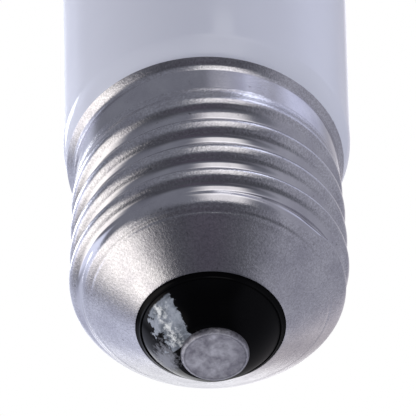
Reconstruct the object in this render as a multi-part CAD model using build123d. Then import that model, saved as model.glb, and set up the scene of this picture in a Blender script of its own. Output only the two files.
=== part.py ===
"""Frosted tubular halogen bulb on an Edison screw cap, E27/27.

Frame: the origin is on the axis at the level of the contact's face, +Z runs from the contact to
the tip of the glass and -Y is the side seen in front. All sizes are in millimetres.
"""
import os
from math import atan, cos, pi, radians, sin, sqrt, tan

from build123d import *

# Whole lamp
OVERALL_LENGTH = 105.0  # contact face to the tip of the glass
CAP_HEIGHT = 27.0  # contact face to the rim of the screw shell

# Screw shell, deep drawn from aluminium sheet with the thread rolled in
SHEET = 0.3
CREST_RADIUS = 13.2  # thread crests, diameter 26.4
THREAD_PITCH = 3.629
THREAD_ROUND = 1.025  # radius of the rounded crests and of the rounded roots
FRONT_CREST_Z = 17.9  # height of a crest on the front side
RUN_OUT = 4.4  # height over which the thread fades out below the neck
HOLE_RADIUS = 6.94  # opening of the dome, filled by the insulator
HOLE_Z = 3.95
DOME_SLOPE = 40.0  # degrees that the dome rises from level
SHOULDER_BLEND = 1.2  # the dome and the thread run into each other over this difference of radius
SHOULDER_BEVEL = 1.4  # width of the bevel inside the shoulder
NECK_DIP = 0.12  # neck radius under the crest radius
NECK_HEIGHT = 2.7  # plain neck between the thread and the lip
LIP_HEIGHT = 1.1
LIP_ROUND = 0.8  # radius between the neck and the lip
LIP_SLOPE = 52.0  # degrees that the lip leans outwards from the axis

# Insulator, black vitrite glass pressed into the dome
MARGIN_WIDTH = 0.55  # flat margin inside the hole
MARGIN_STEP = 0.30  # the cone's foot stands this much proud of the margin
INSULATOR_FLANGE = 2.6  # flange behind the hole, beyond the hole's radius
INSULATOR_DEPTH = 3.4  # hole level to the insulator's inner face
LEAD_BORE = 0.75  # radius of the way through for the centre lead

# Centre contact: brass plate set in the insulator, under a flattened drop of solder
PAD_RADIUS = 3.15
PAD_THICKNESS = 0.6
PAD_ROUND = 0.3  # width of the rounded edge
PAD_DRIFT = 0.35  # the drop set this far off the axis, towards +X
LAND_MARGIN = 0.25  # flat of the insulator round the drop
PLATE_RADIUS = 2.6
PLATE_THICKNESS = 0.4

# Frosted glass envelope
GLASS_RADIUS = 16.0
GLASS_INSERT = 11.5  # depth of the neck inside the cap
ROOT_RADIUS = 14.28  # glass just above the rim
ROOT_RISE = 3.0  # rim to that level
ROOT_SLOPE = 0.034  # widening there, radius over height
CEMENT_WALL = 0.8  # cement between the glass and the threaded wall
CEMENT_COVER = 2.2  # rim down to the top of the cement
CEMENT_DEPTH = 8.5  # height of the cement ring

# Lead wires
WIRE_RADIUS = 0.3
WIRE_DROP = 2.4  # glass foot to the level where the side lead turns outwards
WIRE_SPACING = 3.2  # the side lead leaves the foot this far from the axis

FIT = 0.05  # room between two pieces that seat in each other
SECTIONS = 12  # sections of the shell in each half turn
STEPS = 44  # spans along the thread in one section

# Derived sizes
THREAD_DEPTH = 2 * THREAD_ROUND - sqrt(4 * THREAD_ROUND**2 - THREAD_PITCH**2 / 4)
WALL_RADIUS = CREST_RADIUS - THREAD_DEPTH - SHEET  # inside of the threaded wall
LIP_Z = CAP_HEIGHT - LIP_HEIGHT
LIP_ANGLE = radians(LIP_SLOPE)
NECK_Z = LIP_Z - NECK_HEIGHT
NECK_RADIUS = CREST_RADIUS - NECK_DIP
NECK_INSIDE = NECK_RADIUS - SHEET
NECK_FOOT_Z = NECK_Z - RUN_OUT / 2  # where the inside starts to widen
BEND_RADIUS = NECK_RADIUS + LIP_ROUND * (1 - cos(LIP_ANGLE))  # end of the round under the lip
BEND_Z = LIP_Z + LIP_ROUND * sin(LIP_ANGLE)
RIM_RADIUS = BEND_RADIUS + (CAP_HEIGHT - BEND_Z) * tan(LIP_ANGLE)
RIM_INSIDE = RIM_RADIUS - SHEET / cos(LIP_ANGLE)
BEND_INSIDE_Z = CAP_HEIGHT - (RIM_INSIDE - NECK_INSIDE) / tan(LIP_ANGLE)
DOME_ANGLE = radians(DOME_SLOPE)
THREAD_FOOT_RADIUS = CREST_RADIUS - THREAD_DEPTH - SHOULDER_BLEND  # the dome is plain up to here
THREAD_FOOT_Z = HOLE_Z + (THREAD_FOOT_RADIUS - HOLE_RADIUS) * tan(DOME_ANGLE)
DOME_INSIDE_Z = HOLE_Z + SHEET / cos(DOME_ANGLE)  # inner edge of the hole
INSULATOR_Z = HOLE_Z + INSULATOR_DEPTH
LAND_RADIUS = PAD_RADIUS + PAD_DRIFT + LAND_MARGIN
FOOT_Z = CAP_HEIGHT - GLASS_INSERT
FOOT_RADIUS = WALL_RADIUS - CEMENT_WALL
MOUTH_RADIUS = RIM_INSIDE - 2 * FIT  # glass in the rim
COLLAR_RADIUS = NECK_INSIDE - 2 * FIT  # glass at the foot of the lip
CEMENT_TOP_Z = CAP_HEIGHT - CEMENT_COVER


def smooth_step(share):
    """Rise from 0 to 1 with level ends."""
    share = min(1.0, max(0.0, share))
    return share * share * (3 - 2 * share)


def between(start, end, z):
    """Radius at a height on the line between two (radius, height) points."""
    return start[0] + (end[0] - start[0]) * (z - start[1]) / (end[1] - start[1])


def groove_depth(height):
    """Depth of the rolled thread at a height above a crest: two tangent arcs each half pitch."""
    offset = abs((height + THREAD_PITCH / 2) % THREAD_PITCH - THREAD_PITCH / 2)
    if offset <= THREAD_PITCH / 4:
        return THREAD_ROUND - sqrt(THREAD_ROUND**2 - offset**2)
    offset = THREAD_PITCH / 2 - offset
    return THREAD_DEPTH - THREAD_ROUND + sqrt(THREAD_ROUND**2 - offset**2)


def thread_radius(angle, z):
    """Radius of the right-hand thread, which fades out at the neck and runs into the dome."""
    crest_z = FRONT_CREST_Z + (angle + pi / 2) / (2 * pi) * THREAD_PITCH
    dip = NECK_DIP * smooth_step((z - NECK_FOOT_Z) / (NECK_Z - NECK_FOOT_Z))
    wall = CREST_RADIUS - dip - smooth_step((NECK_Z - z) / RUN_OUT) * groove_depth(z - crest_z)
    dome = HOLE_RADIUS + (z - HOLE_Z) / tan(DOME_ANGLE)
    nearness = max(0.0, 1 - abs(wall - dome) / SHOULDER_BLEND)
    return min(wall, dome) - SHOULDER_BLEND / 4 * nearness**2


def shell_section(angle):
    """Closed outline of the sheet in the half plane at one angle about the axis."""

    def at(point):
        return Vector(point[0] * cos(angle), point[0] * sin(angle), point[1])

    def line(start, end):
        return Edge.make_line(at(start), at(end))

    hole = (HOLE_RADIUS, HOLE_Z)
    foot = (THREAD_FOOT_RADIUS, THREAD_FOOT_Z)
    neck = (NECK_RADIUS, NECK_Z)
    lip = (NECK_RADIUS, LIP_Z)
    half = LIP_ANGLE / 2
    middle = (NECK_RADIUS + LIP_ROUND * (1 - cos(half)), LIP_Z + LIP_ROUND * sin(half))
    bend = (BEND_RADIUS, BEND_Z)
    rim = (RIM_RADIUS, CAP_HEIGHT)
    height = NECK_Z - THREAD_FOOT_Z
    shares = [step / STEPS for step in range(STEPS + 1)]
    levels = [THREAD_FOOT_Z + height * share for share in shares]
    thread = Edge.make_spline(
        [at((thread_radius(angle, z), z)) for z in levels],
        tangents=[at((height / tan(DOME_ANGLE), height)), Vector(0, 0, height)],
        parameters=shares,
        scale=False,
    )
    bevel_radius = WALL_RADIUS - SHOULDER_BEVEL
    bevel_z = DOME_INSIDE_Z + (bevel_radius - HOLE_RADIUS) * tan(DOME_ANGLE)
    bevel_rise = SHOULDER_BEVEL * tan(pi / 4 + DOME_ANGLE / 2)
    inside = [
        rim,
        (RIM_INSIDE, CAP_HEIGHT),
        (NECK_INSIDE, BEND_INSIDE_Z),
        (NECK_INSIDE, NECK_Z),
        (WALL_RADIUS, NECK_FOOT_Z),
        (WALL_RADIUS, bevel_z + bevel_rise),
        (bevel_radius, bevel_z),
        (HOLE_RADIUS, DOME_INSIDE_Z),
        hole,
    ]
    outside = [
        line(hole, foot),
        thread,
        line(neck, lip),
        Edge.make_three_point_arc(at(lip), at(middle), at(bend)),
        line(bend, rim),
    ]
    return Wire(outside + [line(start, end) for start, end in zip(inside, inside[1:])])


def screw_shell():
    """Threaded aluminium shell, lofted through its sections in two half turns."""
    halves = []
    for first in (0, SECTIONS):
        angles = [pi * (first + step) / SECTIONS for step in range(SECTIONS + 1)]
        halves.append(Solid.make_loft([shell_section(angle) for angle in angles]))
    return halves[0] + halves[1]


def turned(outline):
    """Solid turned about the lamp's axis from a closed outline of radius and height."""
    return revolve(make_face(Plane.XZ * outline), Axis.Z)


def insulator():
    """Vitrite plug: a cone that carries the contact, and a flange behind the dome."""
    hole = HOLE_RADIUS - FIT
    flange = HOLE_RADIUS + INSULATOR_FLANGE
    cone_foot = HOLE_RADIUS - MARGIN_WIDTH
    seat = PLATE_RADIUS + FIT
    seat_z = PAD_THICKNESS + PLATE_THICKNESS
    back_z = DOME_INSIDE_Z + FIT
    return turned(
        Polyline(
            (seat, PAD_THICKNESS),
            (LAND_RADIUS, PAD_THICKNESS),
            (cone_foot, HOLE_Z - MARGIN_STEP),
            (cone_foot, HOLE_Z),
            (hole, HOLE_Z),
            (hole, back_z),
            (flange, back_z + (flange - hole) * tan(DOME_ANGLE)),
            (flange, INSULATOR_Z),
            (LEAD_BORE, INSULATOR_Z),
            (LEAD_BORE, seat_z),
            (seat, seat_z),
            close=True,
        )
    )


def contact_plate():
    """Brass disc in the insulator's seat, with a hole for the centre lead."""
    top = PAD_THICKNESS + PLATE_THICKNESS
    return turned(
        Polyline(
            (LEAD_BORE, PAD_THICKNESS),
            (PLATE_RADIUS, PAD_THICKNESS),
            (PLATE_RADIUS, top),
            (LEAD_BORE, top),
            close=True,
        )
    )


def centre_contact():
    """Flattened drop of solder with a rounded edge, set a little off the axis."""
    seat = (PAD_RADIUS, PAD_THICKNESS)
    face_edge = (PAD_RADIUS - PAD_ROUND, 0)
    side_edge = (PAD_RADIUS, PAD_ROUND)
    outline = Polyline(face_edge, (0, 0), (0, PAD_THICKNESS), seat, side_edge)
    outline += RadiusArc(side_edge, face_edge, PAD_ROUND)
    return Pos(PAD_DRIFT, 0, 0) * turned(outline)


def capping_cement():
    """Ring of cement that holds the neck of the glass in the shell."""
    glass_foot, glass_collar = (FOOT_RADIUS + FIT, NECK_FOOT_Z), (COLLAR_RADIUS + FIT, BEND_INSIDE_Z)
    shell_foot, shell_neck = (WALL_RADIUS - FIT, NECK_FOOT_Z), (NECK_INSIDE - FIT, NECK_Z)
    bottom = CEMENT_TOP_Z - CEMENT_DEPTH
    return turned(
        Polyline(
            (FOOT_RADIUS + FIT, bottom),
            (WALL_RADIUS - FIT, bottom),
            shell_foot,
            shell_neck,
            (NECK_INSIDE - FIT, CEMENT_TOP_Z),
            (between(glass_foot, glass_collar, CEMENT_TOP_Z), CEMENT_TOP_Z),
            glass_foot,
            close=True,
        )
    )


def glass_envelope():
    """Sealed frosted envelope: neck inside the cap, slow taper and a domed end."""
    root = (ROOT_RADIUS, CAP_HEIGHT + ROOT_RISE)
    dome = (GLASS_RADIUS, OVERALL_LENGTH - GLASS_RADIUS)
    collar = (COLLAR_RADIUS, BEND_INSIDE_Z)
    mouth = (MOUTH_RADIUS, CAP_HEIGHT)
    tip = (0, OVERALL_LENGTH)
    lean = atan(ROOT_SLOPE)
    # the cone ends where an arc that is tangent to it stands upright at the foot of the dome
    rest = (ROOT_RADIUS + ROOT_SLOPE * (dome[1] - root[1])) - GLASS_RADIUS
    bow_height = rest / (ROOT_SLOPE - tan(lean / 2))
    bow = (GLASS_RADIUS - bow_height * tan(lean / 2), dome[1] - bow_height)
    neck = Polyline(tip, (0, FOOT_Z), (FOOT_RADIUS, FOOT_Z), (FOOT_RADIUS, NECK_FOOT_Z), collar, mouth)
    swell = Spline(mouth, root, tangents=[(tan(LIP_ANGLE), 1), (ROOT_SLOPE, 1)])
    taper = Line(root, bow) + RadiusArc(bow, dome, -bow_height / sin(lean))
    return turned(neck + swell + taper + RadiusArc(dome, tip, -GLASS_RADIUS))


def centre_lead():
    """Wire from the foot of the glass through the contact plate to the solder."""
    wire = Cylinder(WIRE_RADIUS, FOOT_Z - PAD_THICKNESS, align=(Align.CENTER, Align.CENTER, Align.MIN))
    return Pos(0, 0, PAD_THICKNESS) * wire


def side_lead():
    """Wire from the foot of the glass to the wall of the shell, at the back."""
    turn_z = FOOT_Z - WIRE_DROP
    path = Polyline((0, WIRE_SPACING, FOOT_Z), (0, WIRE_SPACING, turn_z), (0, WALL_RADIUS - FIT, turn_z))
    section = Plane(origin=path @ 0, z_dir=path % 0) * Circle(WIRE_RADIUS)
    return sweep(section, path, transition=Transition.RIGHT)


NODES = {
    "screw_shell": screw_shell,
    "insulator": insulator,
    "contact_plate": contact_plate,
    "centre_contact": centre_contact,
    "glass_envelope": glass_envelope,
    "capping_cement": capping_cement,
    "centre_lead": centre_lead,
    "side_lead": side_lead,
}

os.makedirs("parts", exist_ok=True)
for name, make in NODES.items():
    export_step(make(), f"parts/{name}.step")
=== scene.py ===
from math import atan2, cos, hypot, pi, radians, sin, sqrt, tan

import bmesh
import bpy
from bpy.props import FloatProperty, FloatVectorProperty, IntProperty, PointerProperty
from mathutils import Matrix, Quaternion, Vector, noise


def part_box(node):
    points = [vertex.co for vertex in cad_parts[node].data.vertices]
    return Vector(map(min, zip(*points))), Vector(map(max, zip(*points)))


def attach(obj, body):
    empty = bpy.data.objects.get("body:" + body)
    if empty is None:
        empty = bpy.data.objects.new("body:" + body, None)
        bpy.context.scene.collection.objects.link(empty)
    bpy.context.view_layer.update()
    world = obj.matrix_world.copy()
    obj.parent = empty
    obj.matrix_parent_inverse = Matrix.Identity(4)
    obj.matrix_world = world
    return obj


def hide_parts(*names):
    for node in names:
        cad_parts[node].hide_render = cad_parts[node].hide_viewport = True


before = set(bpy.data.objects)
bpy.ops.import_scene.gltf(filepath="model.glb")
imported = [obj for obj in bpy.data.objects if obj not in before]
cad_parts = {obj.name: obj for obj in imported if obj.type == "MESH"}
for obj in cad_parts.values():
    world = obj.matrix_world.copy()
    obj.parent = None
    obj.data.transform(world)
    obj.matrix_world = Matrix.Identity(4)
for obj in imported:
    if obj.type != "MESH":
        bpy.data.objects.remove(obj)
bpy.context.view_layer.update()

bl_info = {
    "name": "Halogen modelling bulb",
    "version": (1, 0, 0),
    "blender": (4, 5, 0),
    "location": "View3D > Sidebar > Bulb",
    "description": "Dresses the solids of a frosted halogen bulb with a rolled screw cap",
    "category": "Object",
}

MM = 0.001
FIT = 0.05 * MM  # room between two pieces that seat in each other
MERGE = 1e-7  # points nearer than this are one point
NEAR = 1e-6  # points nearer than this to a circle lie on it
SHARP = radians(35)  # an edge that turns by more than this is drawn sharp


def linear(code):
    """Linear colour of an sRGB hex value."""
    parts = [int(code[i : i + 2], 16) / 255 for i in (1, 3, 5)]
    return tuple(p / 12.92 if p <= 0.04045 else ((p + 0.055) / 1.055) ** 2.4 for p in parts) + (1.0,)


def length(label, note, size):
    """Property for a length, given in millimetres."""
    return FloatProperty(name=label, description=note, default=size * MM, unit="LENGTH", precision=5)


def angle(label, note, size):
    """Property for an angle, given in degrees."""
    return FloatProperty(name=label, description=note, default=radians(size), subtype="ANGLE")


def colour(label, note, code):
    """Property for a colour, given as an sRGB hex value."""
    return FloatVectorProperty(
        name=label, description=note, default=linear(code), size=4, subtype="COLOR", min=0, max=1
    )


class ShellSettings(bpy.types.PropertyGroup):
    """Screw shell of thin aluminium sheet."""

    rim_z: length("Rim height", "Contact face to the rim", 27.0)
    sheet: length("Sheet", "Thickness of the sheet", 0.3)
    crest_radius: length("Crest radius", "Radius over the thread's crests", 13.2)
    pitch: length("Pitch", "Rise of the thread in one turn", 3.629)
    round: length("Thread round", "Radius of the crests and of the roots", 1.025)
    front_crest_z: length("Front crest", "Height of a crest on the front side", 17.9)
    run_out: length("Run out", "Height over which the thread fades below the neck", 4.4)
    hole_radius: length("Hole radius", "Opening of the dome", 6.94)
    hole_z: length("Hole height", "Contact face to the hole's edge", 3.95)
    dome_slope: angle("Dome slope", "Rise of the dome from level", 40.0)
    blend: length("Shoulder blend", "Difference of radius over which dome and thread run together", 0.75)
    camber: length("Dome camber", "Swell of the dome over a straight cone", 0.17)
    lead_in: length("Lead-in", "Rise of the lowest groove over the helix", 0.4)
    crease_radius: length("Crease radius", "Line scribed round the dome", 11.1)
    crease_depth: length("Crease depth", "Depth of that line", 0.08)
    neck_dip: length("Neck dip", "Neck radius under the crest radius", 0.22)
    neck_z: length("Neck height", "Contact face to the end of the thread", 23.2)
    lip_z: length("Lip foot", "Contact face to the foot of the flared lip", 25.9)
    lip_round: length("Lip round", "Radius between the neck and the lip", 0.8)
    lip_slope: angle("Lip slope", "Lean of the lip from the axis", 50.0)
    lip_pinch: FloatProperty(
        name="Lip pinch", description="Share of the lip's flare that is missing on the right", default=0.35
    )
    turns: IntProperty(name="Segments", description="Segments round the shell", default=320, min=32)
    metal: colour("Aluminium", "Colour of the bare sheet", "#D3D2D6")
    dull: colour("Dull aluminium", "Colour of the sheet where it is dull", "#B4B2BB")


class InsulatorSettings(bpy.types.PropertyGroup):
    """Black vitrite insulator."""

    land_radius: length("Land radius", "Flat that carries the solder", 3.45)
    ridge_radius: length("Ridge radius", "Ring pressed round the foot of the cone", 6.5)
    ridge_round: length("Ridge round", "Radius of that ring's section", 0.07)
    glass: colour("Vitrite", "Colour of the black glass", "#040405")
    film: colour("Flux film", "Colour of the dried soldering flux", "#9CA2AE")
    thin: colour("Thin film", "Colour of the film where it is thin", "#626871")
    fleck: colour("Flux crust", "Colour of the white crust on the film", "#DEE0E2")
    haze: colour("Flux haze", "Colour of the thin flux beside it", "#9496A0")


class ContactSettings(bpy.types.PropertyGroup):
    """Centre contact of flattened solder."""

    radius: length("Radius", "Radius of the flattened drop", 3.15)
    thickness: length("Thickness", "Thickness of the drop", 0.6)
    edge: length("Edge", "Radius of its rounded edge", 0.3)
    drift: length("Drift", "Distance of the drop from the axis", 0.35)
    dish: length("Dish", "Depth of the face inside its rim", 0.07)
    rim: length("Rim", "Width of the slope inside the rim", 0.3)
    solder: colour("Solder", "Colour of the dull solder", "#CFCED6")
    stain: colour("Stain", "Colour of the darker patches", "#8F8D98")
    # colour towards which the solder's face turns darker on the right
    tone_overlay: colour("Darker right side", "Colour of the darker right side", "#7C7B87")


class GlassSettings(bpy.types.PropertyGroup):
    """Frosted glass envelope."""

    radius: length("Radius", "Largest radius of the tube", 16.0)
    tip_z: length("Length", "Contact face to the tip of the glass", 105.0)
    root_radius: length("Root radius", "Radius just above the rim", 14.28)
    root_z: length("Root height", "Contact face to that level", 30.0)
    root_slope: FloatProperty(
        name="Root slope", description="Widening above the root, radius over height", default=0.034
    )
    foot_radius: length("Foot radius", "Radius of the glass inside the cap", 11.0)
    foot_z: length("Foot height", "Contact face to the glass inside the cap", 15.5)
    milk: colour("Frosting", "Colour of the frosted glass", "#CDD0DE")
    dense: colour("Dense frosting", "Colour of the glass where the frosting is dense", "#C2C5D5")


class StageSettings(bpy.types.PropertyGroup):
    """Camera, floor and light tent."""

    camera_place: FloatVectorProperty(
        name="Camera",
        description="Place of the camera",
        default=(0, -0.17346, -0.17924),
        subtype="TRANSLATION",
    )
    aim: FloatVectorProperty(
        name="Aim", description="Middle of the picture", default=(0, -0.0031, 0.0172), subtype="TRANSLATION"
    )
    roll: angle("Roll", "Turn of the camera about the view line", 1.315)
    lens: FloatProperty(name="Lens", description="Focal length", default=236.5, unit="CAMERA")
    floor_z: FloatProperty(name="Floor", description="Height of the floor", default=-0.80, unit="LENGTH")
    floor: colour("Floor colour", "Pale opal floor, lit a little from below", "#F4F4F6")


def add_node(tree, kind, inputs=None, output=None, **settings):
    """Add a node with its settings, its values and its links, and give back an output."""
    node = tree.nodes.new("ShaderNode" + kind)
    for key, value in settings.items():
        setattr(node, key, value)
    for key, value in (inputs or {}).items():
        if isinstance(value, bpy.types.NodeSocket):
            tree.links.new(value, node.inputs[key])
        else:
            node.inputs[key].default_value = value
    return node.outputs[output] if output else next((s for s in node.outputs if s.enabled), node)


def new_tree(name):
    """Empty node material, its tree and its Object coordinates."""
    material = bpy.data.materials.new(name)
    material.use_nodes = True
    tree = material.node_tree
    tree.nodes.clear()
    return material, tree, add_node(tree, "TexCoord", output="Object")


def smooth_step(share):
    """Rise from 0 to 1 with level ends."""
    share = min(1.0, max(0.0, share))
    return share * share * (3 - 2 * share)


def arc(centre, radius, start, end, steps):
    """Points of an arc from one angle to another, ends included."""
    angles = [start + (end - start) * step / steps for step in range(steps + 1)]
    return [(centre[0] + radius * cos(a), centre[1] + radius * sin(a)) for a in angles]


def wire(bm, outline, closed):
    """Chain of edges in the XZ plane through points of radius and height."""
    verts = [bm.verts.new((radius, 0, height)) for radius, height in outline]
    pairs = list(zip(verts, verts[1:] + verts[:1]))
    return [bm.edges.new(pair) for pair in (pairs if closed else pairs[:-1])]


def spin(bm, turns):
    """Turn all edges about the Z axis into a closed surface that points outwards."""
    bmesh.ops.spin(
        bm,
        geom=bm.verts[:] + bm.edges[:],
        cent=(0, 0, 0),
        axis=(0, 0, 1),
        angle=2 * pi,
        steps=turns,
        use_merge=True,
    )
    bmesh.ops.remove_doubles(bm, verts=bm.verts, dist=MERGE)
    bmesh.ops.recalc_face_normals(bm, faces=bm.faces)


def soften(bm, radius, height, offset):
    """Round the circular edge that runs at a radius and a height."""

    def on_ring(place):
        return abs(place.z - height) < NEAR and abs(hypot(place.x, place.y) - radius) < NEAR

    ring = [edge for edge in bm.edges if all(on_ring(vert.co) for vert in edge.verts)]
    bmesh.ops.bevel(
        bm,
        geom=ring,
        offset=offset,
        segments=3,
        profile=0.5,
        affect="EDGES",
        material=-1,
        clamp_overlap=True,
    )


def finished(bm, name, node, material):
    """Object of a finished mesh, which stands for a CAD node and rides on the lamp."""
    mesh = bpy.data.meshes.new(name)
    bm.to_mesh(mesh)
    bm.free()
    mesh.shade_smooth()
    mesh.set_sharp_from_angle(angle=SHARP)
    mesh.materials.append(material)
    piece = bpy.data.objects.new(name, mesh)
    bpy.context.scene.collection.objects.link(piece)
    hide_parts(node)
    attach(piece, "root")


# Segments round the insulator and the glass, and steps of a small rounded edge
SEGMENTS = 192
EDGE_STEPS = 8
# On the front the lowest groove runs out into the shoulder: the share of its lower flank that is
# missing there, and the cosine of the angle from the front at which it is whole again
FADE = 0.85
FADE_END = 0.4


class ShellShape:
    """Radii of the screw shell, worked out from its settings."""

    def __init__(self, s):
        self.s = s
        self.depth = 2 * s.round - sqrt(4 * s.round**2 - s.pitch**2 / 4)
        self.wall_r = s.crest_radius - self.depth - s.sheet
        self.foot_r = s.crease_radius - s.sheet
        self.foot_z = s.hole_z + (self.foot_r - s.hole_radius) * tan(s.dome_slope)
        self.crease_z = s.hole_z + (s.crease_radius - s.hole_radius) * tan(s.dome_slope)
        self.shoulder_z = s.hole_z + (s.crest_radius - s.hole_radius) * tan(s.dome_slope)
        self.back_z = s.hole_z + s.sheet / cos(s.dome_slope)
        self.neck_r = s.crest_radius - s.neck_dip
        self.neck_inside = self.neck_r - s.sheet
        self.neck_foot_z = s.neck_z - s.run_out / 2
        self.bend_r = self.neck_r + s.lip_round * (1 - cos(s.lip_slope))
        self.bend_z = s.lip_z + s.lip_round * sin(s.lip_slope)
        self.rim_r = self.bend_r + (s.rim_z - self.bend_z) * tan(s.lip_slope)
        self.rim_inside = self.rim_r - s.sheet / cos(s.lip_slope)
        self.bend_inside_z = s.rim_z - (self.rim_inside - self.neck_inside) / tan(s.lip_slope)

    def groove(self, turn, z):
        """Depth of the thread at an angle and a height: two tangent arcs in each half pitch."""
        s = self.s
        crest = s.front_crest_z + (turn + pi / 2) / (2 * pi) * s.pitch
        crest += s.lead_in * (1 - smooth_step((z - self.shoulder_z) / s.pitch))
        offset = (z - crest + s.pitch / 2) % s.pitch - s.pitch / 2
        from_root = s.pitch / 2 - abs(offset)
        if offset > 0 and z < self.shoulder_z:
            from_root *= 1 - FADE * smooth_step((cos(turn + pi / 2) - FADE_END) / FADE_END)
        if from_root < s.pitch / 4:
            return self.depth - s.round + sqrt(s.round**2 - from_root**2)
        return s.round - sqrt(s.round**2 - (s.pitch / 2 - from_root) ** 2)

    def radius(self, turn, z):
        """Radius of the rolled wall, which fades into the neck and runs into the dome."""
        s = self.s
        dip = s.neck_dip * smooth_step((z - self.neck_foot_z) / (s.neck_z - self.neck_foot_z))
        wall = s.crest_radius - dip - smooth_step((s.neck_z - z) / s.run_out) * self.groove(turn, z)
        share = min(1.0, (z - s.hole_z) / (self.shoulder_z - s.hole_z))
        dome = s.hole_radius + (z - s.hole_z) / tan(s.dome_slope) + 4 * s.camber * share * (1 - share)
        nearness = max(0.0, 1 - abs(wall - dome) / s.blend)
        return min(wall, dome) - s.blend / 4 * nearness**2


def rolled_aluminium(s):
    """Thin aluminium sheet, deep drawn and rolled.

    The stretched crests and the lip have the orange-peel grain of drawn sheet, the grooves that
    the roller pressed are burnished and mirror the room, and the dome is grainy and dull. A few
    dark specks of dirt are scattered over it.
    """
    material, tree, place = new_tree("rolled_aluminium_sheet")
    burnish = add_node(tree, "Attribute", output="Fac", attribute_name="burnish")
    peel = add_node(tree, "TexNoise", {"Vector": place, "Scale": 1 / (0.20 * MM), "Detail": 2.0})
    grain = add_node(tree, "TexNoise", {"Vector": place, "Scale": 1 / (0.07 * MM), "Detail": 1.0})
    cloud = add_node(tree, "TexNoise", {"Vector": place, "Scale": 1 / (2.4 * MM), "Detail": 3.0})
    raw = add_node(tree, "MapRange", {"Value": burnish, "To Min": 1.0, "To Max": 0.05})
    both = add_node(tree, "Math", {0: grain, 1: 0.8, 2: peel}, operation="MULTIPLY_ADD")
    height = add_node(tree, "Math", {0: both, 1: raw}, operation="MULTIPLY")
    bump = add_node(tree, "Bump", {"Height": height, "Strength": 0.8, "Distance": 0.017 * MM})
    rough = add_node(tree, "MapRange", {"Value": burnish, "From Min": -1.0, "To Min": 0.24, "To Max": 0.08})
    patchy = add_node(
        tree, "MapRange", {"Value": cloud, "From Min": 0.3, "From Max": 0.7, "To Min": -0.04, "To Max": 0.04}
    )
    rough = add_node(tree, "Math", {0: rough, 1: patchy}, operation="ADD")
    dullness = add_node(
        tree, "MapRange", {"Value": cloud, "From Min": 0.35, "From Max": 0.75, "To Min": 0.0, "To Max": 0.6}
    )
    tone = add_node(tree, "Mix", {0: dullness, 6: s.metal, 7: s.dull}, data_type="RGBA")
    speck = add_node(
        tree, "MapRange", {"Value": both, "From Min": 0.68, "From Max": 1.12, "To Min": 0.80, "To Max": 1.14}
    )
    speck = add_node(tree, "Mix", {0: raw, 2: 1.0, 3: speck})
    dirt = add_node(tree, "TexNoise", {"Vector": place, "Scale": 1 / (0.45 * MM), "Detail": 3.0})
    dirt = add_node(
        tree, "MapRange", {"Value": dirt, "From Min": 0.69, "From Max": 0.78, "To Min": 1.0, "To Max": 0.5}
    )
    speck = add_node(tree, "Math", {0: speck, 1: dirt}, operation="MULTIPLY")
    tone = add_node(tree, "VectorMath", {0: tone, "Scale": speck}, operation="SCALE")
    surface = {"Base Color": tone, "Metallic": 1.0, "Roughness": rough, "Normal": bump}
    shader = add_node(tree, "BsdfPrincipled", surface)
    add_node(tree, "OutputMaterial", {"Surface": shader})
    return material


# Burnish of the dome and of the neck: 1 is a rolled groove, 0 is drawn sheet and less is scuffed
DOME_SHEEN = -0.5
NECK_SHEEN = 0.85
# Lines scribed round the dome: distance below the crease in millimetres, and share of its depth
SCRIBED = ((0.0, 1.0), (0.55, 0.3), (-0.35, 0.25))
SCRIBE_HALF = 0.15 * MM
# Rows of the mesh on the dome, on the thread and on the neck, and steps of the bend to the lip
ROWS = (24, 228, 12)
LIP_STEPS = 10
# Rounding of the hole's edge and of the rim
HOLE_EDGE = 0.08 * MM
RIM_EDGE = 0.1 * MM
# Inside of the dome: heights of the wall's foot and of the knee below it, over the back of the
# hole's edge, and the knee's distance from the wall
WALL_FOOT = 6.0 * MM
KNEE = 2.9 * MM
KNEE_IN = 1.4 * MM
# Share of the groove's depth at which the burnish starts, the share over which it grows, and the
# height over which the dome's finish changes into the thread's
BURNISH_START = 0.5
BURNISH_RISE = 0.3
FINISH_CHANGE = 1.2 * MM


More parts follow.
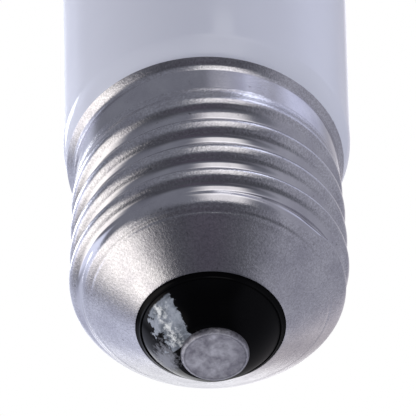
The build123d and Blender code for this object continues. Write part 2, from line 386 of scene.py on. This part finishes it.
class BULB_OT_shell(bpy.types.Operator):
    """Spin the sheet's outline and roll the thread into it"""

    bl_idname = "bulb.shell"
    bl_label = "Screw shell"

    def execute(self, context):
        s = context.scene.bulb_shell
        shape = ShellShape(s)
        lip = arc((shape.neck_r + s.lip_round, s.lip_z), s.lip_round, pi, pi - s.lip_slope, LIP_STEPS)
        outside = [(s.hole_radius, s.hole_z), (shape.foot_r, shape.foot_z), (shape.neck_r, s.neck_z)]
        inside = [
            (shape.rim_r, s.rim_z),
            (shape.rim_inside, s.rim_z),
            (shape.neck_inside, shape.bend_inside_z),
            (shape.neck_inside, s.neck_z),
            (shape.wall_r, shape.neck_foot_z),
            (shape.wall_r, shape.back_z + WALL_FOOT),
            (shape.wall_r - KNEE_IN, shape.back_z + KNEE),
            (s.hole_radius, shape.back_z),
        ]
        bm = bmesh.new()
        burnish = bm.verts.layers.float.new("burnish")
        rolled = bm.verts.layers.float.new("rolled")
        edges = wire(bm, outside + lip + inside, closed=True)
        edges[0].verts[1][rolled] = 1.0
        for edge, cuts, touched in zip(edges, ROWS, (1.0, 1.0, 0.0)):
            rows = bmesh.ops.subdivide_edges(bm, edges=[edge], cuts=cuts)
            for item in rows["geom_inner"]:
                if isinstance(item, bmesh.types.BMVert):
                    item[rolled] = touched
        spin(bm, s.turns)
        soften(bm, s.hole_radius, s.hole_z, HOLE_EDGE)
        soften(bm, shape.rim_r, s.rim_z, RIM_EDGE)
        for vert in bm.verts:
            radius, z = hypot(vert.co.x, vert.co.y), vert.co.z
            turn = atan2(vert.co.y, vert.co.x)
            new = radius
            if vert[rolled] > 0.5:
                share = shape.groove(turn, z) / shape.depth
                new = shape.radius(turn, z)
                for below, part in SCRIBED:
                    near = 1 - abs(z - shape.crease_z + below * MM) / SCRIBE_HALF
                    new -= max(0.0, near) * part * s.crease_depth
                roll = smooth_step((share - BURNISH_START) / BURNISH_RISE)
                roll *= smooth_step((s.neck_z - z) / s.run_out)
                shoulder = smooth_step((z - shape.crease_z) / FINISH_CHANGE)
                vert[burnish] = roll * shoulder + DOME_SHEEN * (1 - shoulder)
            elif z > s.lip_z:
                pinch = s.lip_pinch * (0.5 + 0.5 * cos(turn)) ** 2
                flare = smooth_step((z - s.lip_z) / (s.rim_z - s.lip_z))
                new -= pinch * flare * (shape.rim_r - shape.neck_r)
            elif radius > shape.neck_r - FIT:
                vert[burnish] = NECK_SHEEN
            vert.co.x *= new / radius
            vert.co.y *= new / radius
        finished(bm, "rolled_shell", "screw_shell", rolled_aluminium(s))
        return {"FINISHED"}


# Flux on the insulator: directions across its run and along it, counted in millimetres
FLUX_ACROSS = (-0.75 / MM, 0.66 / MM, 0)
FLUX_ALONG = (-0.66 / MM, -0.75 / MM, 0)
# Crust of flux, in millimetres: where it starts and ends across its run and where it starts along
# it, the lean of its first edge, and the line on which it is whitest
CRUST_START = 0.15
CRUST_END = 2.75
CRUST_FOOT = 2.4
CRUST_LEAN = 0.13
CRUST_SPINE = 1.3
# Haze of flux: shift of its middle to the axis in millimetres, and scale of its oval
HAZE_SHIFT = (3.2, -0.62, 0)
HAZE_SCALE = (0.78, 0.36, 1)
# Direction towards the side whose gloss is dulled by dust
DUST_SIDE = (0.85, 0.5, 0)


def black_vitrite(s):
    """Pressed black glass: deep black with a wet gloss.

    Flux that ran off the solder has dried on one side, as a thick crust with a ragged edge and a
    thin haze beside it. Dust dulls the gloss of the other side.
    """
    material, tree, place = new_tree("pressed_black_vitrite")
    ragged = add_node(
        tree, "TexNoise", {"Vector": place, "Scale": 1 / (1.1 * MM), "Detail": 7.0, "Roughness": 0.66}
    )
    across, along = (
        add_node(tree, "VectorMath", {0: place, 1: direction}, output="Value", operation="DOT_PRODUCT")
        for direction in (FLUX_ACROSS, FLUX_ALONG)
    )
    wander = add_node(tree, "MapRange", {"Value": across, "From Max": 2.2, "To Min": 2.2, "To Max": 7.5})
    offset = add_node(tree, "Math", {0: ragged, 1: 0.5}, operation="SUBTRACT")
    offset = add_node(tree, "Math", {0: offset, 1: wander}, operation="MULTIPLY")
    right = add_node(tree, "Math", {0: along, 1: CRUST_LEAN, 2: across}, operation="MULTIPLY_ADD")
    right = add_node(tree, "Math", {0: right, 1: CRUST_START}, operation="SUBTRACT")
    left = add_node(tree, "Math", {0: CRUST_END, 1: across}, operation="SUBTRACT")
    edge = add_node(tree, "Math", {0: right, 1: left}, operation="MINIMUM")
    edge = add_node(tree, "Math", {0: edge, 1: offset}, operation="ADD")
    flat = add_node(tree, "VectorMath", {0: place, 1: (1 / MM, 1 / MM, 0)}, operation="MULTIPLY")
    radius = add_node(tree, "VectorMath", {0: flat}, output="Value", operation="LENGTH")
    radius = add_node(tree, "Math", {0: ragged, 1: 0.6, 2: radius}, operation="MULTIPLY_ADD")
    brim = add_node(tree, "Math", {0: s.ridge_radius / MM, 1: radius}, operation="SUBTRACT")
    edge = add_node(tree, "Math", {0: edge, 1: brim}, operation="MINIMUM")
    side = add_node(tree, "Math", {0: along, 1: CRUST_FOOT}, operation="SUBTRACT")
    edge = add_node(tree, "Math", {0: edge, 1: side}, operation="MINIMUM")
    crust = add_node(tree, "MapRange", {"Value": edge, "From Min": -0.04, "From Max": 0.06})
    spot = add_node(tree, "Mapping", {0: flat, 1: HAZE_SHIFT, 3: HAZE_SCALE})
    spread = add_node(tree, "VectorMath", {0: spot}, output="Value", operation="LENGTH")
    fleck = add_node(
        tree, "TexNoise", {"Vector": place, "Scale": 1 / (0.55 * MM), "Detail": 6.0, "Roughness": 0.72}
    )
    spread = add_node(tree, "Math", {0: fleck, 1: 2.6, 2: spread}, operation="MULTIPLY_ADD")
    haze = add_node(
        tree, "MapRange", {"Value": spread, "From Min": 2.3, "From Max": 1.6, "To Min": 0.0, "To Max": 0.8}
    )
    spine = add_node(tree, "Math", {0: across, 1: CRUST_SPINE}, operation="SUBTRACT")
    spine = add_node(tree, "Math", {0: spine}, operation="ABSOLUTE")
    spine = add_node(tree, "MapRange", {"Value": spine, "From Max": 1.5, "To Min": 0.12, "To Max": -0.12})
    fleck = add_node(tree, "Math", {0: fleck, 1: spine}, operation="ADD")
    fleck = add_node(tree, "MapRange", {"Value": fleck, "From Min": 0.53, "From Max": 0.68})
    thin = add_node(tree, "MapRange", {"Value": ragged, "From Min": 0.40, "From Max": 0.60})
    pale = add_node(tree, "Mix", {0: thin, 6: s.thin, 7: s.film}, data_type="RGBA")
    pale = add_node(tree, "Mix", {0: fleck, 6: pale, 7: s.fleck}, data_type="RGBA")
    tone = add_node(tree, "Mix", {0: haze, 6: s.glass, 7: s.haze}, data_type="RGBA")
    tone = add_node(tree, "Mix", {0: crust, 6: tone, 7: pale}, data_type="RGBA")
    cover = add_node(tree, "Math", {0: crust, 1: haze}, operation="MAXIMUM")
    dust = add_node(tree, "VectorMath", {0: flat, 1: DUST_SIDE}, output="Value", operation="DOT_PRODUCT")
    dust = add_node(
        tree, "MapRange", {"Value": dust, "From Min": -0.5, "From Max": 2.5, "To Min": 0.08, "To Max": 0.55}
    )
    rough = add_node(tree, "MapRange", {"Value": cover, "To Min": dust, "To Max": 0.6})
    height = add_node(tree, "Math", {0: fleck, 1: crust, 2: crust}, operation="MULTIPLY_ADD")
    bump = add_node(tree, "Bump", {"Height": height, "Strength": 0.5, "Distance": 0.05 * MM})
    surface = {"Base Color": tone, "Roughness": rough, "Specular IOR Level": 0.08, "Normal": bump}
    shader = add_node(tree, "BsdfPrincipled", surface)
    add_node(tree, "OutputMaterial", {"Surface": shader})
    return material


# Cone of the insulator: steps of its outline, and swell outwards and downwards
CONE_STEPS = 24
CONE_SWELL = Vector((0.32 * MM, -0.30 * MM))
# Heights below the hole's edge: middle of the ridge, and inner and outer edge of the margin
RIDGE_BELOW = 0.3 * MM
MARGIN_BELOW = (0.2 * MM, 0.04 * MM)
# Gap between the ridge and the margin, and angle at which the ridge's round leaves the cone
MARGIN_GAP = 0.06 * MM
RIDGE_START = -0.8 * pi


class BULB_OT_insulator(bpy.types.Operator):
    """Spin the vitrite plug with its land, rounded cone, ridge and margin"""

    bl_idname = "bulb.insulator"
    bl_label = "Insulator"

    def execute(self, context):
        scene = context.scene
        s, shell, contact = scene.bulb_insulator, scene.bulb_shell, scene.bulb_contact
        shape = ShellShape(shell)
        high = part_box("insulator")[1]
        hole = shell.hole_radius - FIT
        back = shape.back_z + FIT
        ridge_z = shell.hole_z - RIDGE_BELOW
        start = Vector((s.land_radius, contact.thickness))
        end = Vector((s.ridge_radius - s.ridge_round, ridge_z))
        bulge = (start + end) / 2 + CONE_SWELL
        outline = [(0, contact.thickness)]
        for step in range(CONE_STEPS + 1):
            t = step / CONE_STEPS
            outline.append(tuple(start * (1 - t) ** 2 + bulge * 2 * t * (1 - t) + end * t**2))
        outline += arc((s.ridge_radius, ridge_z), s.ridge_round, RIDGE_START, 0, EDGE_STEPS)
        outline += [
            (s.ridge_radius + s.ridge_round + MARGIN_GAP, shell.hole_z - MARGIN_BELOW[0]),
            (hole, shell.hole_z - MARGIN_BELOW[1]),
            (hole, back),
            (high.x, back + (high.x - hole) * tan(shell.dome_slope)),
            (high.x, high.z),
            (0, high.z),
        ]
        bm = bmesh.new()
        wire(bm, outline, closed=False)
        spin(bm, SEGMENTS)
        finished(bm, "vitrite_plug", "insulator", black_vitrite(s))
        return {"FINISHED"}


# Rings round the solder's edge, one painted highlight and two dark lines: radius and half width in
# millimetres, strength and colour
RIM_HIGHLIGHT_AND_SHADE = (
    # painted highlight along the rounded edge
    (3.06, 0.10, 0.40, "#E6E6F0"),
    # dark line just inside that highlight
    (2.94, 0.14, 0.50, "#5C5B66"),
    # dark outline at the very edge: painted shadow of the gap to the insulator, with dark flux in it
    (3.32, 0.24, 0.95, "#3C3B44"),
)


def dull_solder(s):
    """Tin solder pressed flat: dull grey with cloudy stains and a slightly pitted skin, darker towards the
    right, with a painted highlight and two dark lines round its edge, the outer one painted shadow of the
    gap to the insulator.
    """
    material, tree, place = new_tree("flattened_tin_solder")
    cloud = add_node(
        tree, "TexNoise", {"Vector": place, "Scale": 1 / (1.3 * MM), "Detail": 5.0, "Roughness": 0.65}
    )
    cloud = add_node(tree, "MapRange", {"Value": cloud, "From Min": 0.36, "From Max": 0.64})
    pits = add_node(tree, "TexNoise", {"Vector": place, "Scale": 1 / (0.25 * MM), "Detail": 3.0})
    tone = add_node(tree, "Mix", {0: cloud, 6: s.stain, 7: s.solder}, data_type="RGBA")
    flat = add_node(tree, "VectorMath", {0: place, 1: (1 / MM, 1 / MM, 0)}, operation="MULTIPLY")
    # the face turns darker towards the right, from 1 to 3 millimetres right of the axis
    tone_overlay = add_node(tree, "VectorMath", {0: flat, 1: (1, 0, 0)}, output="Value", operation="DOT_PRODUCT")
    tone_overlay = add_node(tree, "MapRange", {"Value": tone_overlay, "From Min": 1.0, "From Max": 3.0, "To Max": 0.55})
    tone = add_node(tree, "Mix", {0: tone_overlay, 6: tone, 7: s.tone_overlay}, data_type="RGBA")
    middle = (s.drift / MM, 0, 0)
    radius = add_node(tree, "VectorMath", {0: flat, 1: middle}, output="Value", operation="DISTANCE")
    radius = add_node(tree, "Math", {0: pits, 1: 0.25, 2: radius}, operation="MULTIPLY_ADD")
    # paint the rings round the edge: the painted highlight, the dark line and the outline of painted shadow
    for ring, half, share, code in RIM_HIGHLIGHT_AND_SHADE:
        away = add_node(tree, "Math", {0: radius, 1: ring}, operation="SUBTRACT")
        away = add_node(tree, "Math", {0: away}, operation="ABSOLUTE")
        edges = {"Value": away, "From Min": half, "From Max": 0.0, "To Max": share}
        tone_overlay = add_node(tree, "MapRange", edges)
        tone = add_node(tree, "Mix", {0: tone_overlay, 6: tone, 7: linear(code)}, data_type="RGBA")
    rough = add_node(tree, "MapRange", {"Value": cloud, "To Min": 0.62, "To Max": 0.45})
    bump = add_node(tree, "Bump", {"Height": pits, "Strength": 0.5, "Distance": 0.05 * MM})
    surface = {"Base Color": tone, "Metallic": 0.6, "Roughness": rough, "Normal": bump}
    shader = add_node(tree, "BsdfPrincipled", surface)
    add_node(tree, "OutputMaterial", {"Surface": shader})
    return material


# Mesh of the contact: steps of its face and of the slope to the rim, and segments round it
FACE_STEPS = 14
SLOPE_STEPS = 4
CONTACT_SEGMENTS = 128
# Waves of the contact's face: size in millimetres and share of their height
WAVES = ((1.1, 1.0), (0.45, 0.5))
WAVE_HEIGHT = 0.05 * MM
# Unevenness of the contact's outline: size, and share of the radius
UNEVEN_SIZE = 2.5 * MM
UNEVEN_SHARE = 0.02


class BULB_OT_contact(bpy.types.Operator):
    """Spin the flattened drop of solder and give its face a slight wave"""

    bl_idname = "bulb.contact"
    bl_label = "Centre contact"

    def execute(self, context):
        s = context.scene.bulb_contact
        inner = s.radius - s.edge - s.rim
        outline = [(inner * step / FACE_STEPS, s.dish) for step in range(FACE_STEPS + 1)]
        for step in range(1, SLOPE_STEPS):
            t = step / SLOPE_STEPS
            outline.append((inner + s.rim * t, s.dish * (1 - smooth_step(t))))
        outline += arc((s.radius - s.edge, s.edge), s.edge, -pi / 2, 0, EDGE_STEPS)
        outline += [(s.radius, s.thickness), (0, s.thickness)]
        bm = bmesh.new()
        wire(bm, outline, closed=False)
        spin(bm, CONTACT_SEGMENTS)
        for vert in bm.verts:
            if vert.co.z < s.edge:
                wave = sum(share * noise.noise(vert.co / (size * MM)) for size, share in WAVES)
                vert.co.z += max(0.0, wave) * WAVE_HEIGHT
            uneven = noise.noise(Vector((vert.co.x, vert.co.y, 0)) / UNEVEN_SIZE)
            drawn_in = min(1.0, 1 + UNEVEN_SHARE * uneven)
            vert.co.x *= drawn_in
            vert.co.y *= drawn_in
        bmesh.ops.translate(bm, verts=bm.verts, vec=(s.drift, 0, 0))
        finished(bm, "solder_contact", "centre_contact", dull_solder(s))
        return {"FINISHED"}


def frosted_glass(s):
    """Soft glass tube, acid frosted inside: milky body under a clear, glossy outer skin."""
    material, tree, place = new_tree("frosted_glass_tube")
    cloud = add_node(tree, "TexNoise", {"Vector": place, "Scale": 1 / (7.0 * MM), "Detail": 3.0})
    shade = add_node(tree, "MapRange", {"Value": cloud, "From Min": 0.3, "From Max": 0.7, "To Max": 0.25})
    tone = add_node(tree, "Mix", {0: shade, 6: s.milk, 7: s.dense}, data_type="RGBA")
    rough = add_node(tree, "MapRange", {"Value": cloud, "To Min": 0.5, "To Max": 0.6})
    surface = {
        "Base Color": tone,
        "Roughness": rough,
        "IOR": 1.5,
        "Specular IOR Level": 0.2,
        "Coat Weight": 0.8,
        "Coat Roughness": 0.05,
        "Coat IOR": 1.5,
    }
    shader = add_node(tree, "BsdfPrincipled", surface)
    add_node(tree, "OutputMaterial", {"Surface": shader})
    return material


# Outline of the glass: widening at its mouth, radius over height, and steps of the root, of the
# straight taper, of the bow above it and of the domed end
MOUTH_SLOPE = 0.9
ROOT_STEPS = 14
TAPER_STEPS = 12
BOW_STEPS = 8
TIP_STEPS = 40


class BULB_OT_glass(bpy.types.Operator):
    """Spin the frosted envelope: neck, root, slow taper and domed end"""

    bl_idname = "bulb.glass"
    bl_label = "Glass envelope"

    def execute(self, context):
        s, shell = context.scene.bulb_glass, context.scene.bulb_shell
        shape = ShellShape(shell)
        dome_z = s.tip_z - s.radius
        pinched = shell.lip_pinch * (shape.rim_r - shape.neck_r)
        mouth_r, rise = shape.rim_inside - pinched - 2 * FIT, s.root_z - shell.rim_z
        bow = (s.root_radius + s.root_slope * (dome_z - s.root_z) - s.radius) / (s.root_slope / 2)
        run = dome_z - bow - s.root_z
        outline = [(0, s.foot_z), (s.foot_radius, s.foot_z), (s.foot_radius, shape.neck_foot_z)]
        outline.append((shape.neck_inside - 2 * FIT, shape.bend_inside_z))
        for step in range(ROOT_STEPS):
            t = step / ROOT_STEPS
            bend = mouth_r * (2 * t**3 - 3 * t**2 + 1) + s.root_radius * (3 * t**2 - 2 * t**3)
            bend += rise * (MOUTH_SLOPE * (t**3 - 2 * t**2 + t) + s.root_slope * (t**3 - t**2))
            outline.append((bend, shell.rim_z + rise * t))
        for step in range(TAPER_STEPS):
            t = step / TAPER_STEPS
            outline.append((s.root_radius + s.root_slope * run * t, s.root_z + run * t))
        for step in range(BOW_STEPS):
            left = bow * (1 - step / BOW_STEPS)
            outline.append((s.radius - s.root_slope / 2 * left**2 / bow, dome_z - left))
        outline += arc((0, dome_z), s.radius, 0, pi / 2, TIP_STEPS)[:-1] + [(0, s.tip_z)]
        bm = bmesh.new()
        wire(bm, outline, closed=False)
        spin(bm, SEGMENTS)
        finished(bm, "frosted_envelope", "glass_envelope", frosted_glass(s))
        return {"FINISHED"}


# Pieces inside the cap: finish, two tones, metallic, roughness and size of the pattern in millimetres
HIDDEN = {
    "contact_plate": ("stamped_brass", "#C9A45C", "#B08C48", 1.0, 0.35, 0.6),
    "capping_cement": ("baked_capping_cement", "#B7A88F", "#93866F", 0.0, 0.9, 0.5),
    "centre_lead": ("drawn_nickel_wire", "#B9B2A8", "#A29B92", 1.0, 0.3, 0.2),
    "side_lead": ("drawn_nickel_wire", "#B9B2A8", "#A29B92", 1.0, 0.3, 0.2),
}


class BULB_OT_hidden(bpy.types.Operator):
    """Give the pieces inside the cap their finishes"""

    bl_idname = "bulb.hidden"
    bl_label = "Pieces inside the cap"

    def execute(self, context):
        for node, (name, light, dark, metallic, rough, size) in HIDDEN.items():
            material, tree, place = new_tree(name)
            grain = add_node(tree, "TexNoise", {"Vector": place, "Scale": 1 / (size * MM), "Detail": 4.0})
            tone = add_node(tree, "Mix", {0: grain, 6: linear(light), 7: linear(dark)}, data_type="RGBA")
            bump = add_node(tree, "Bump", {"Height": grain, "Strength": 0.4, "Distance": 0.05 * MM})
            surface = {"Base Color": tone, "Metallic": metallic, "Roughness": rough, "Normal": bump}
            shader = add_node(tree, "BsdfPrincipled", surface)
            add_node(tree, "OutputMaterial", {"Surface": shader})
            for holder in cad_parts[node].material_slots:
                holder.material = material
        return {"FINISHED"}


def compass(azimuth, elevation):
    """Direction from the lamp: azimuth 0 is the front and 90 the right, elevation is over level."""
    a, e = radians(azimuth), radians(elevation)
    return Vector((sin(a) * cos(e), -cos(a) * cos(e), sin(e)))


# Stage, in metres: radii of the floor and of the tent, and nearest and farthest distance in view
FLOOR_RADIUS = 6.0
TENT_RADIUS = 1.5
CLIP = (0.01, 20.0)
# Width of the camera's sensor in millimetres
SENSOR = 36.0
# Strength of the floor's glow, and of the world for diffuse light
FLOOR_GLOW = 0.5
WORLD_FILL = 0.5
# Light of the tent's cloth between its panels
TENT_BASE = "#83858F"
# Panels of the light tent: azimuth, elevation, half width and its soft edge, half height and its
# soft edge, all in degrees, then strength and colour
TENT_PANELS = {
    "front_screen": (13, 17, 16, 18, 29, 4, 0.92, "#FFFBF6"),
    "front_screen_top": (22, 39, 18, 12, 7, 3, 0.32, "#FFFFFF"),
    "front_screen_brim": (15, 48, 5, 5, 1.6, 1.5, 1.10, "#FFFFFF"),
    "window": (48, 60.5, 6.5, 5, 6, 4, 2.20, "#E6ECFF"),
    "window_glow": (62, 61, 20, 22, 8, 6, 0.34, "#D2D9FF"),
    "side_glow": (95, 52, 16, 16, 6, 6, 0.34, "#D8DEFF"),
    "left_screen": (-90, -25, 20, 24, 25, 14, 1.55, "#FFF9F0"),
    "left_screen_top": (-106, 18, 13, 12, 24, 12, 1.05, "#E6EBFF"),
    "back_left": (-143, 18, 17, 12, 38, 14, 0.60, "#E4E9FF"),
    "back_window": (-122, 40, 9, 4, 6, 4, 5.50, "#F6F8FF"),
    "back": (-174, 36, 16, 14, 30, 14, 0.85, "#FFFFFF"),
    "back_right": (156, 25, 16, 14, 26, 20, 0.34, "#FFF0EC"),
    "back_low": (180, -40, 40, 20, 25, 20, 0.25, "#F4F4FF"),
    "right_wall": (100, 8, 48, 16, 55, 16, 0.21, "#E8E6F4"),
    "camera_lens": (0, -50, 14, 24, 14, 24, 0.05, "#FF90FF"),
}
# Dark opening for the camera, given like a panel, with the share of light that it takes away
CAMERA_GAP = (0, -60, 42, 36, 38, 36, 0.62)
# Lamps: azimuth and elevation in degrees, distance, width and height in metres, watts
LAMPS = {
    "left_fill": (-72, -22, 0.9, 0.8, 0.8, 4.5),
    "right_fill": (72, -22, 0.9, 0.8, 0.8, 4.4),
}


def tent_cloth():
    """Cloth of the light tent: pale panels, and a darker opening where the camera stands."""
    material, tree, place = new_tree("light_tent_cloth")
    ray = add_node(tree, "VectorMath", {0: place}, operation="NORMALIZE")

    def panel(azimuth, elevation, half_wide, soft_wide, half_high, soft_high, strength):
        """Share of a soft-edged rectangle that is seen in a direction."""
        toward, sideways = compass(azimuth, elevation), compass(azimuth + 90, 0)
        upwards = toward.cross(sideways)
        ahead = add_node(tree, "VectorMath", {0: ray, 1: toward}, output="Value", operation="DOT_PRODUCT")
        share = add_node(tree, "MapRange", {"Value": ahead, "From Max": 0.05, "To Max": strength})
        for axis, half, soft in ((sideways, half_wide, soft_wide), (upwards, half_high, soft_high)):
            offset = add_node(tree, "VectorMath", {0: ray, 1: axis}, output="Value", operation="DOT_PRODUCT")
            edges = {
                "Value": add_node(tree, "Math", {0: offset}, operation="ABSOLUTE"),
                "From Min": sin(radians(half + soft / 2)),
                "From Max": sin(radians(max(0, half - soft / 2))),
            }
            inside = add_node(tree, "MapRange", edges, interpolation_type="SMOOTHSTEP")
            share = add_node(tree, "Math", {0: share, 1: inside}, operation="MULTIPLY")
        return share

    total = add_node(tree, "RGB")
    total.default_value = linear(TENT_BASE)
    for *edges, code in TENT_PANELS.values():
        glow = add_node(
            tree, "VectorMath", {0: linear(code)[:3], "Scale": panel(*edges)}, operation="SCALE"
        )
        total = add_node(tree, "VectorMath", {0: total, 1: glow}, operation="ADD")
    dark = add_node(tree, "Math", {0: 1.0, 1: panel(*CAMERA_GAP)}, operation="SUBTRACT")
    total = add_node(tree, "VectorMath", {0: total, "Scale": dark}, operation="SCALE")
    add_node(tree, "OutputMaterial", {"Surface": add_node(tree, "Emission", {"Color": total})})
    return material


class BULB_OT_stage(bpy.types.Operator):
    """Make the camera, the floor, the light tent, the lamps and the white world"""

    bl_idname = "bulb.stage"
    bl_label = "Stage"

    def execute(self, context):
        scene, s = context.scene, context.scene.bulb_stage
        data = bpy.data.cameras.new("camera")
        data.lens, data.sensor_width = s.lens, SENSOR
        data.clip_start, data.clip_end = CLIP
        camera = bpy.data.objects.new("camera", data)
        scene.collection.objects.link(camera)
        place, aim = Vector(s.camera_place), Vector(s.aim)
        look = (aim - place).to_track_quat("-Z", "Y") @ Quaternion((0, 0, 1), -s.roll)
        camera.location, camera.rotation_mode, camera.rotation_quaternion = place, "QUATERNION", look
        scene.camera = camera

        bm = bmesh.new()
        bmesh.ops.create_circle(bm, cap_ends=True, radius=FLOOR_RADIUS, segments=96)
        bmesh.ops.translate(bm, verts=bm.verts, vec=(0, 0, s.floor_z))
        material, tree, _ = new_tree("pale_opal_floor")
        surface = {"Base Color": s.floor, "Roughness": 0.9}
        surface.update({"Emission Color": s.floor, "Emission Strength": FLOOR_GLOW})
        shader = add_node(tree, "BsdfPrincipled", surface)
        add_node(tree, "OutputMaterial", {"Surface": shader})
        floor = self.staged(bm, "floor", material)
        floor.visible_glossy = False
        floor.visible_diffuse = False

        bm = bmesh.new()
        bmesh.ops.create_icosphere(bm, subdivisions=5, radius=TENT_RADIUS)
        bmesh.ops.reverse_faces(bm, faces=bm.faces)
        tent = self.staged(bm, "light_tent", tent_cloth())
        tent.visible_camera = False

        for name, (azimuth, elevation, distance, wide, high, watts) in LAMPS.items():
            lamp = bpy.data.lights.new(name, "AREA")
            lamp.shape, lamp.size, lamp.size_y, lamp.energy = "RECTANGLE", wide, high, watts
            holder = bpy.data.objects.new(name, lamp)
            scene.collection.objects.link(holder)
            direction = compass(azimuth, elevation)
            holder.location = direction * distance + aim
            holder.rotation_mode = "QUATERNION"
            holder.rotation_quaternion = direction.to_track_quat("Z", "Y")
            holder.visible_camera = False
            holder.visible_glossy = False

        world = bpy.data.worlds.new("white_studio")
        scene.world = world
        world.use_nodes = True
        tree = world.node_tree
        tree.nodes.clear()
        path = tree.nodes.new("ShaderNodeLightPath").outputs
        seen = path["Is Camera Ray"]
        for kind in ("Is Glossy Ray", "Is Transmission Ray"):
            seen = add_node(tree, "Math", {0: seen, 1: path[kind]}, operation="MAXIMUM")
        level = add_node(tree, "MapRange", {"Value": seen, "To Min": WORLD_FILL, "To Max": 1.0})
        sky = add_node(tree, "Background", {"Color": (1, 1, 1, 1), "Strength": level})
        add_node(tree, "OutputWorld", {"Surface": sky})
        scene.view_settings.view_transform = "Standard"
        return {"FINISHED"}

    def staged(self, bm, name, material):
        """Object of the stage, which isn't part of the lamp."""
        mesh = bpy.data.meshes.new(name)
        bm.to_mesh(mesh)
        bm.free()
        mesh.shade_smooth()
        mesh.materials.append(material)
        piece = bpy.data.objects.new(name, mesh)
        bpy.context.scene.collection.objects.link(piece)
        return piece


class BULB_PT_panel(bpy.types.Panel):
    """Lists the bulb's operators"""

    bl_idname = "BULB_PT_panel"
    bl_label = "Halogen bulb"
    bl_space_type = "VIEW_3D"
    bl_region_type = "UI"
    bl_category = "Bulb"

    def draw(self, context):
        for operator in OPERATORS:
            self.layout.operator(operator.bl_idname)


SETTINGS = {
    "bulb_shell": ShellSettings,
    "bulb_insulator": InsulatorSettings,
    "bulb_contact": ContactSettings,
    "bulb_glass": GlassSettings,
    "bulb_stage": StageSettings,
}
OPERATORS = (
    BULB_OT_shell,
    BULB_OT_insulator,
    BULB_OT_contact,
    BULB_OT_glass,
    BULB_OT_hidden,
    BULB_OT_stage,
)


def register():
    """Register the settings, the operators and the panel."""
    for group in SETTINGS.values():
        bpy.utils.register_class(group)
    for name, group in SETTINGS.items():
        setattr(bpy.types.Scene, name, PointerProperty(type=group))
    for operator in OPERATORS:
        bpy.utils.register_class(operator)
    bpy.utils.register_class(BULB_PT_panel)


def unregister():
    """Take the panel, the operators and the settings out again."""
    bpy.utils.unregister_class(BULB_PT_panel)
    for operator in reversed(OPERATORS):
        bpy.utils.unregister_class(operator)
    for name in SETTINGS:
        delattr(bpy.types.Scene, name)
    for group in reversed(SETTINGS.values()):
        bpy.utils.unregister_class(group)


def main():
    """Make all pieces and the stage."""
    register()
    bpy.ops.bulb.shell()
    bpy.ops.bulb.insulator()
    bpy.ops.bulb.contact()
    bpy.ops.bulb.glass()
    bpy.ops.bulb.hidden()
    bpy.ops.bulb.stage()


if __name__ == "__main__":
    main()
